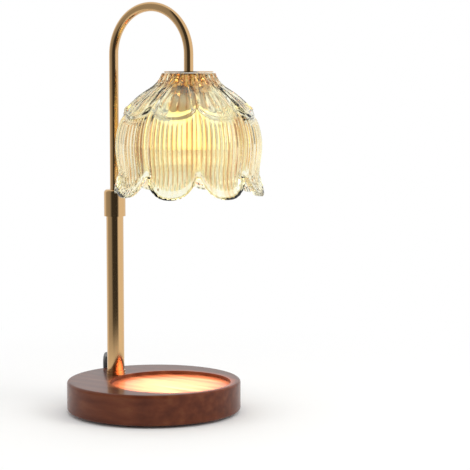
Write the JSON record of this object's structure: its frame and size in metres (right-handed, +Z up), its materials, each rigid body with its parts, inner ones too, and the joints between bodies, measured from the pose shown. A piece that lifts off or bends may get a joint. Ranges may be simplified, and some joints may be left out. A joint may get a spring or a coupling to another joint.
{
  "type": "candle warmer lamp",
  "caption": "Table lamp that warms a jar candle: weighted wooden base with a candle seat, telescoping swivel arm, petal glass shade and halogen reflector bulb.",
  "frame": {"origin": "on the surface that the lamp stands on, under the middle of the round base", "axes": "+Z up along the post, +X from the post towards the candle seat and the shade"},
  "size_m": [0.212, 0.2055, 0.352],
  "materials": {
    "dark_wood": "varnished, glossy",
    "steel": "zinc plated steel",
    "black_foam": "matt black foam",
    "black_rubber": "matt rubber",
    "satin_brass": "satin",
    "white_nylon": "matt nylon",
    "clear_lead": "smooth insulation",
    "white_ceramic": "glazed ceramic",
    "silicone": "clear silicone",
    "amber_glass": "pressed amber glass",
    "reflector_glass": "mirrored glass",
    "lens_glass": "clear glass",
    "black_pvc": "satin black sheath",
    "black_plastic": "fine moulded texture",
    "nickel": "nickel plated",
    "board": "lacquered board",
    "grey_plastic": "matt"
  },
  "bodies": {
    "root": {"wood_base": "dark_wood", "counterweight": "steel", "counterweight_screws": "steel", "base_pad": "black_foam", "rubber_feet": "black_rubber", "post_tube": "satin_brass", "post_foot_ring": "satin_brass", "post_anchor": "steel", "post_washer": "steel", "post_bolt": "steel", "cord_relief": "black_rubber", "guide_bush": "white_nylon", "lock_ferrule": "satin_brass", "cord_lead": "black_pvc", "cord_coil": "black_pvc", "cord_tail": "black_pvc", "plug_top": "black_plastic", "plug_bottom": "black_plastic", "plug_blades": "nickel", "plug_screws": "steel", "dimmer_board": "board", "wheel_axle": "steel", "button_spring": "silicone"},
    "slider": {"slider_bush": "white_nylon"},
    "arm": {"slider_clips": "steel", "arm_tube": "satin_brass", "arm_lead": "clear_lead", "shade_nipple": "satin_brass", "cup_locknut": "satin_brass", "holder_cup": "satin_brass", "lamp_holder": "white_ceramic", "neck_gasket": "silicone", "shade_ring": "satin_brass", "glass_shade": "amber_glass", "bulb_base": "white_ceramic", "bulb_pins": "steel", "bulb_reflector": "reflector_glass", "bulb_lens": "lens_glass"},
    "collar": {"lock_collar": "satin_brass"},
    "wheel": {"dimmer_wheel": "grey_plastic"},
    "button": {"timer_button": "grey_plastic"}
  },
  "joints": [
    {"name": "arm_height", "type": "slide", "parent": "root", "child": "slider", "axis": [0, 0, 1], "range_m": [-0.08, 0.008]},
    {"name": "arm_swivel", "type": "hinge", "parent": "slider", "child": "arm", "pos_m": [-0.0425, 0, 0.2], "axis": [0, 0, 1], "range_deg": [-150, 150]},
    {"name": "collar_turn", "type": "hinge", "parent": "root", "child": "collar", "pos_m": [-0.0425, 0, 0.18], "axis": [0, 0, 1], "range_deg": [0, 180]},
    {"name": "dimmer_turn", "type": "hinge", "parent": "root", "child": "wheel", "pos_m": [-0.00765, 0.10203, 0.007], "axis": [0, 0, 1], "range_deg": [-270, 0]},
    {"name": "timer_press", "type": "slide", "parent": "root", "child": "button", "axis": [0, 0, -1], "range_m": [0, 0.0008], "stiffness_N_per_m": 800, "deforming": ["button_spring"]}
  ]
}
